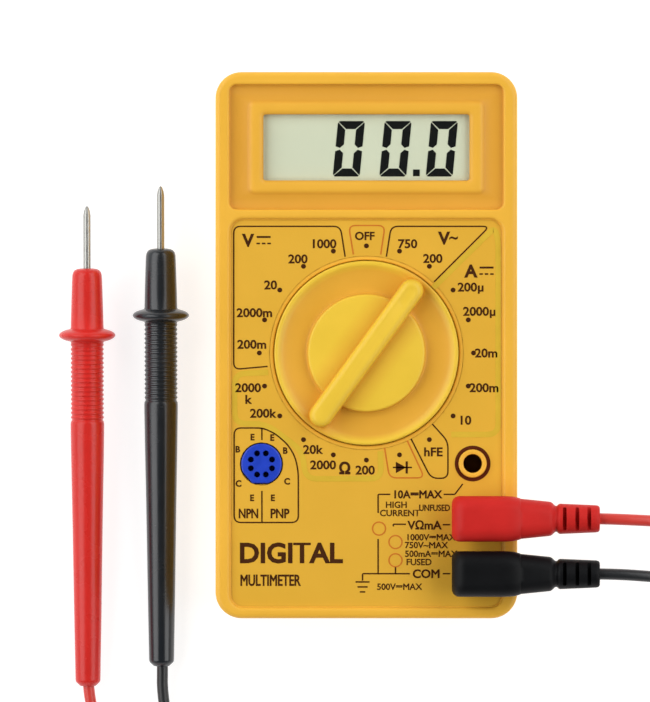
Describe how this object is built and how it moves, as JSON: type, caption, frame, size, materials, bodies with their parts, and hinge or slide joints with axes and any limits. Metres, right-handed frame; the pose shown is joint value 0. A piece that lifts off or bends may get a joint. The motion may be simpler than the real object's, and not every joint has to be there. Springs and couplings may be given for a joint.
{
  "type": "digital multimeter",
  "caption": "Pocket digital multimeter with a display, rotary range selector, transistor socket, input jacks and plugged-in red and black test leads with probes.",
  "frame": {"origin": "centre of the flat back face, on the surface that the meter lies on", "axes": "+X to the meter's right, +Y towards its display end, +Z out of its face"},
  "size_m": [0.1927, 0.199, 0.0359],
  "materials": {
    "shell_plastic": "moulded, satin, fine grain",
    "label_film": "printed film, satin",
    "knob_plastic": "moulded, semi-gloss",
    "window_plastic": "clear acrylic",
    "lcd": "reflective display, satin",
    "blue_plastic": "moulded, semi-gloss",
    "black_plastic": "moulded, satin",
    "brass": "stamped",
    "steel": "plated",
    "copper": "tinned copper-nickel wire",
    "circuit_board": "solder-masked laminate",
    "contact_rubber": "layered conductive rubber",
    "battery_can": "plain printed can",
    "fuse_glass": "clear tube with plated caps",
    "film_capacitor": "dipped",
    "resistor_body": "lacquered, with plain colour bands",
    "red_wire": "thin insulated wire",
    "black_wire": "thin insulated wire",
    "red_lead_plastic": "moulded, semi-gloss",
    "black_lead_plastic": "moulded, semi-gloss",
    "red_cord": "smooth flexible insulation",
    "black_cord": "smooth flexible insulation",
    "plated_pin": "nickel plated"
  },
  "bodies": {
    "case": {"front_case": "shell_plastic", "rear_case": "shell_plastic", "face_label": "label_film", "display_window": "window_plastic", "lcd_glass": "lcd", "transistor_socket": "blue_plastic", "trimmer": "blue_plastic", "battery_snap": "black_plastic", "chip_blob": "black_plastic", "capacitor_1": "black_plastic", "red_coil_tie": "black_plastic", "black_coil_tie": "black_plastic", "jack_sleeve_10a": "brass", "jack_sleeve_volt_ohm": "brass", "jack_sleeve_common": "brass", "fuse_clip_1": "brass", "fuse_clip_2": "brass", "case_screw_1": "steel", "case_screw_2": "steel", "board_screw_1": "steel", "board_screw_2": "steel", "board_screw_3": "steel", "shunt_wire": "copper", "circuit_board": "circuit_board", "contact_strip": "contact_rubber", "battery": "battery_can", "fuse": "fuse_glass", "capacitor_2": "film_capacitor", "capacitor_3": "film_capacitor", "resistor_1": "resistor_body", "resistor_2": "resistor_body", "resistor_3": "resistor_body", "battery_wire_red": "red_wire", "battery_wire_black": "black_wire", "red_probe_handle": "red_lead_plastic", "black_probe_handle": "black_lead_plastic", "red_cord_to_coil": "red_cord", "red_coil": "red_cord", "red_cord_to_probe": "red_cord", "black_cord_to_coil": "black_cord", "black_coil": "black_cord", "black_cord_to_probe": "black_cord", "red_probe_needle": "plated_pin", "black_probe_needle": "plated_pin"},
    "knob": {"selector_knob": "knob_plastic", "detent_ball_1": "steel", "detent_ball_2": "steel", "detent_spring_1": "steel", "detent_spring_2": "steel", "wiper_contact_1": "brass", "wiper_contact_2": "brass", "wiper_contact_3": "brass"},
    "red_lead_plug": {"red_plug": "red_lead_plastic", "red_plug_pin": "plated_pin"},
    "black_lead_plug": {"black_plug": "black_lead_plastic", "black_plug_pin": "plated_pin"}
  },
  "joints": [
    {"name": "selector_turn", "type": "hinge", "parent": "case", "child": "knob", "pos_m": [0, -0.0018, 0.02], "axis": [0, 0, 1], "continuous": true},
    {"name": "red_plug_pull", "type": "slide", "parent": "case", "child": "red_lead_plug", "axis": [0, 0, 1], "range_m": [0, 0.018]},
    {"name": "black_plug_pull", "type": "slide", "parent": "case", "child": "black_lead_plug", "axis": [0, 0, 1], "range_m": [0, 0.018]}
  ]
}
